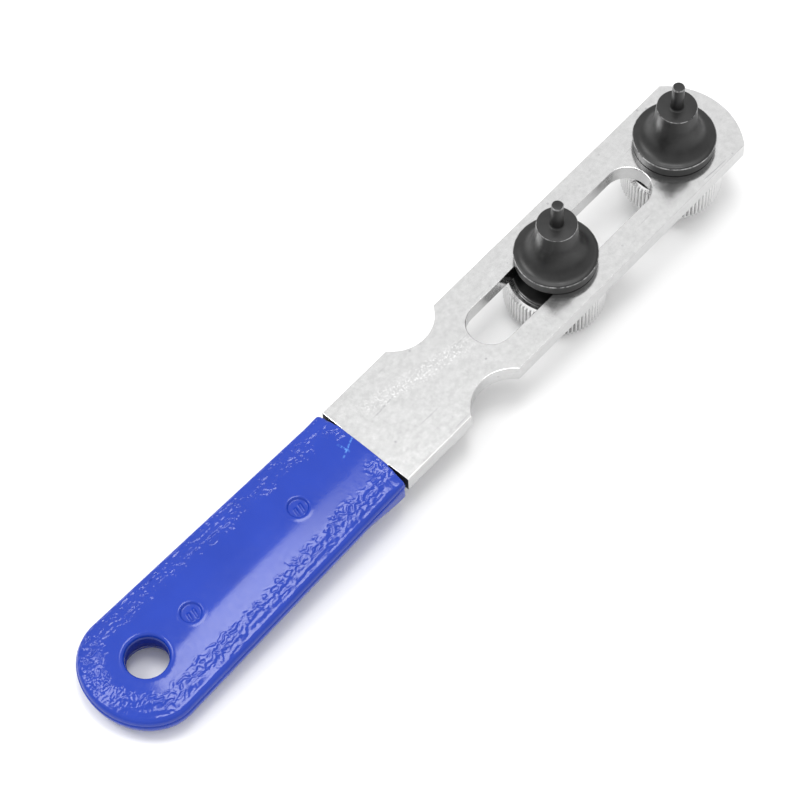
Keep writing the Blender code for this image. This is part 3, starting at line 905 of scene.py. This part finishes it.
def make_grip():
    loop, normals, top_r, back_r = grip_loop()
    count = len(loop)
    verts, faces = [], []

    def surface(x, y, high, seed):
        h = grain(x, y, seed) + mark_height(x, y) + crown(x, y, high)
        return TOP + h if high else BOTTOM - h

    # Both broad faces.
    rings = {}
    for high, seed, radii, band in ((True, 11, top_r, 0.135), (False, 47, back_r, 0.21)):
        inner = loop - normals * radii[:, None]
        pts, fixed, edge_count, lip = face_points(inner, seed, band)
        out = geometry.delaunay_2d_cdt([Vector(p) for p in pts], fixed, [], 1, 1e-7)
        co = np.array([(p.x, p.y) for p in out[0]])
        z = surface(co[:, 0], co[:, 1], high, seed)
        base = len(verts)
        verts += list(zip(co[:, 0], co[:, 1], z))
        origin = {}
        for new, sources in enumerate(out[3]):
            for s in sources:
                origin[s] = new
        for tri in out[2]:
            ids = list(tri)
            if np.all(np.hypot(co[ids, 0] - HOLE_X, co[ids, 1]) < LIP_R + 1e-4):
                continue
            p, q, r = (co[i] for i in ids[:3])
            turn = (q[0] - p[0]) * (r[1] - p[1]) - (q[1] - p[1]) * (r[0] - p[0])
            if (turn > 0) != high:
                ids.reverse()
            faces.append(tuple(base + i for i in ids))
        rings[high] = (
            [base + origin[i] for i in range(edge_count)],
            [base + origin[edge_count + i] for i in range(lip)],
        )

    def stitch(a, b):
        for i in range(count):
            j = (i + 1) % count
            faces.append((a[i], b[i], b[j], a[j]))

    # The rounded edges and the side wall between the two faces. Each ring is an inset of
    # the outline and a height, from the upper rim down to the lower one.
    round_steps = 10
    rows = []
    for high, radii in ((True, top_r), (False, back_r)):
        seed = 11 if high else 47
        rim = loop - normals * radii[:, None]
        rim_z = TOP + crown(rim[:, 0], rim[:, 1], True) if high else (
            BOTTOM - crown(rim[:, 0], rim[:, 1], False)
        )
        part = []
        for k in range(1, round_steps + 1):
            a = math.radians(90.0 * k / round_steps)
            flat = loop - normals * (radii * (1.0 - a))[:, None]
            g = grain(flat[:, 0], flat[:, 1], seed) * float(
                smoothstep((math.radians(70.0) - a) / math.radians(30.0))
            )
            inset = radii * (1.0 - math.sin(a)) - g * math.sin(a)
            drop = radii * (1.0 - math.cos(a)) - g * math.cos(a)
            part.append((inset, rim_z - drop if high else rim_z + drop))
        rows.append(part)
    upper, lower = rows
    wall_top, wall_low = upper[-1][1], lower[-1][1]
    flank = smoothstep((np.abs(loop[:, 1]) - 5.2) / 0.5)
    flank = np.where(loop[:, 0] < -6.0, 1.0, flank)
    wall = []
    for t, inset in ((0.22, 0.17), (0.44, 0.16), (0.6, 0.07), (0.72, 0.01), (0.9, 0.0)):
        z = wall_top + (PARTING_Z - wall_top) * t
        wall.append((inset * flank, z))
    wall.append((0.02 * flank, np.full(count, PARTING_Z)))
    wall.append((0.22 * flank, np.full(count, PARTING_Z - 0.1)))
    for t in (0.12, 0.3, 0.5, 0.75, 0.95):
        z = PARTING_Z - 0.1 + (wall_low - PARTING_Z + 0.1) * t
        wall.append(((0.1 - 0.04 * t) * flank, z))
    soft_edge = [(inset + 0.17 * flank * (k + 1) / round_steps, z) for k, (inset, z) in enumerate(upper)]
    low_edge = [(inset + 0.06 * flank, z) for inset, z in reversed(lower)]
    levels = soft_edge + wall + low_edge

    # On the mouth's end face the rows between the rims are evened out, with one at the
    # pocket's roof and one at its floor.
    on_face = normals[:, 0] > 0.9999
    face_z = None
    if on_face.any():
        first, last = round_steps, len(levels) - round_steps
        inner_rows = list(range(first, last))
        n = len(inner_rows)
        above = max(2, n // 4)
        face_z = []
        for k in range(n):
            if k < above:
                face_z.append(0.75 + (POCKET_TOP - 0.75) * k / (above - 1))
            else:
                face_z.append(
                    POCKET_TOP + (POCKET_LOW - POCKET_TOP) * (k - above + 1) / (n - above)
                )
        for k, row in enumerate(inner_rows):
            inset, z = levels[row]
            blend = np.where(on_face, smoothstep((7.6 - np.abs(loop[:, 1])) / 1.6), 0.0)
            z = np.asarray(z, float) * (1.0 - blend) + face_z[k] * blend
            levels[row] = (inset * (1.0 - blend), z)

    previous = rings[True][0]
    for inset, z in levels:
        xy = loop - normals * np.reshape(inset, (-1, 1))
        ring = list(range(len(verts), len(verts) + count))
        verts += list(zip(xy[:, 0], xy[:, 1], z))
        stitch(previous, ring)
        previous = ring
    stitch(previous, rings[False][0])

    # The hanging hole: a rounded lip, the wall with its parting line, the other lip.
    top_lip, low_lip = rings[True][1], rings[False][1]
    lip = len(top_lip)
    soft = LIP_R - HOLE_R
    hole = []
    for k in range(1, 8):
        a = math.radians(90.0 * k / 7)
        hole.append((HOLE_R + soft * (1 - math.sin(a)), TOP - soft * 1.2 * (1 - math.cos(a))))
    for z, r in ((0.3, 3.36), (-0.3, 3.31), (-0.75, 3.27), (-0.9, 3.24), (-1.05, 3.28), (-1.6, 3.32), (-2.1, 3.42), (-2.7, 3.62), (-3.3, 3.85)):
        hole.append((r, z))
    for k in reversed(range(1, 7)):
        a = math.radians(90.0 * k / 7)
        hole.append(
            (LIP_R - soft * 0.25 * math.sin(a), BOTTOM + soft * 1.2 * (1 - math.cos(a)))
        )
    previous = top_lip
    settle = np.array([verts[i][2] - TOP for i in top_lip])
    settle_low = np.array([verts[i][2] - BOTTOM for i in low_lip])
    for number, (r, z) in enumerate(hole):
        ring = list(range(len(verts), len(verts) + lip))
        keep = max(0.0, 1.0 - number / 7.0)
        keep_low = max(0.0, 1.0 - (len(hole) - 1 - number) / 7.0)
        for i in range(lip):
            a = math.tau * i / lip
            dz = settle[i] * keep + settle_low[i] * keep_low
            verts.append((HOLE_X + r * math.cos(a), r * math.sin(a), z + dz))
        for i in range(lip):
            j = (i + 1) % lip
            faces.append((previous[j], ring[j], ring[i], previous[i]))
        previous = ring
    for i in range(lip):
        j = (i + 1) % lip
        faces.append((previous[j], low_lip[j], low_lip[i], previous[i]))

    mesh = mesh_of("grip_moulding", verts, faces)

    # The pocket that holds the tang, pushed in from the middle of the mouth.
    work = bmesh.new()
    work.from_mesh(mesh)
    mouth = []
    for face in work.faces:
        c = face.calc_center_median() / MM
        if (
            c.x > MOUTH_X - 0.02
            and abs(c.y) < POCKET_HALF
            and POCKET_LOW < c.z < POCKET_TOP
            and abs(face.normal.x) > 0.9
        ):
            mouth.append(face)
    pushed = bmesh.ops.extrude_face_region(work, geom=mouth)
    moved = [g for g in pushed["geom"] if isinstance(g, bmesh.types.BMVert)]
    bmesh.ops.translate(work, verts=moved, vec=((POCKET_END - MOUTH_X) * MM, 0.0, 0.0))
    bmesh.ops.delete(work, geom=[f for f in mouth if f.is_valid], context="FACES_KEEP_BOUNDARY")
    loose = [v for v in work.verts if not v.link_faces]
    bmesh.ops.delete(work, geom=loose, context="VERTS")
    open_edges = sum(1 for e in work.edges if len(e.link_faces) != 2)
    triangles = sum(len(f.verts) - 2 for f in work.faces)
    print("grip: triangles", triangles, "edges not shared by two faces", open_edges)
    work.to_mesh(mesh)
    work.free()
    # Faces low down inside the hanging hole take the darker blue: painted shade of the hole's inside.
    for face in mesh.polygons:
        c = face.center / MM
        if c.z < TOP - 1.0 and math.hypot(c.x - HOLE_X, c.y) < HOLE_R + 0.25:
            face.material_index = 1
    return add_piece(
        "grip_moulding", mesh, [BLUE, BORE_PAINTED_SHADE], "bar_and_grip", "grip", 55.0, False
    )


make_bar()
make_grip()
for label, cx in (("fixed", FIXED_X), ("sliding", SLIDING_X)):
    make_bit(f"{label}_bit", cx, "bar_and_grip" if label == "fixed" else "sliding_bit")
    make_washer(f"{label}_washer", cx, f"{label}_washer")
    make_nut(f"{label}_nut", cx, f"{label}_nut")

# --------------------------------------------------------------------------
# Floor and light
# --------------------------------------------------------------------------


def make_floor():
    mesh = bpy.data.meshes.new("floor")
    work = bmesh.new()
    bmesh.ops.create_grid(work, x_segments=1, y_segments=1, size=3.0)
    work.to_mesh(mesh)
    work.free()
    n = Nodes("pale_floor")
    n.set(Base_Color=(0.86, 0.86, 0.86, 1.0), Roughness=0.8)
    n.shader.inputs["Specular IOR Level"].default_value = 0.0
    mesh.materials.append(n.mat)
    floor = bpy.data.objects.new("floor", mesh)
    bpy.context.scene.collection.objects.link(floor)
    floor.location.z = -0.00002


def area_light(name, at, aim, size, power, colour=(1.0, 1.0, 1.0)):
    data = bpy.data.lights.new(name, "AREA")
    data.shape = "RECTANGLE"
    data.size, data.size_y = size
    data.energy = power
    data.color = colour
    obj = bpy.data.objects.new(name, data)
    bpy.context.scene.collection.objects.link(obj)
    obj.location = at
    way = Vector(aim) - Vector(at)
    obj.rotation_euler = way.to_track_quat("-Z", "Y").to_euler()
    return obj


def make_light():
    world = bpy.data.worlds.new("studio")
    world.use_nodes = True
    tree = world.node_tree
    around = tree.nodes.new("ShaderNodeTexCoord")
    split = tree.nodes.new("ShaderNodeSeparateXYZ")
    ramp = tree.nodes.new("ShaderNodeValToRGB")
    tree.links.new(around.outputs["Generated"], split.inputs[0])
    tree.links.new(split.outputs["Z"], ramp.inputs["Fac"])
    tree.links.new(ramp.outputs["Color"], tree.nodes["Background"].inputs["Color"])
    stops = ((0.0, 0.46), (0.3, 0.78), (0.62, 1.0), (1.0, 0.92))
    points = ramp.color_ramp.elements
    while len(points) < len(stops):
        points.new(0.5)
    for point, (place, level) in zip(points, stops):
        point.position = place
        point.color = (level, level, level, 1.0)
    tree.nodes["Background"].inputs["Strength"].default_value = 1.23
    bpy.context.scene.world = world
    area_light("left_box", (-0.3, 0.5, 0.82), (0.0, 0.0, 0.0), (0.36, 0.36), 3.2)
    area_light("top_box", (0.11, 0.08, 0.985), (0.0, 0.0, 0.0), (0.31, 0.37), 3.1)


make_floor()
make_light()
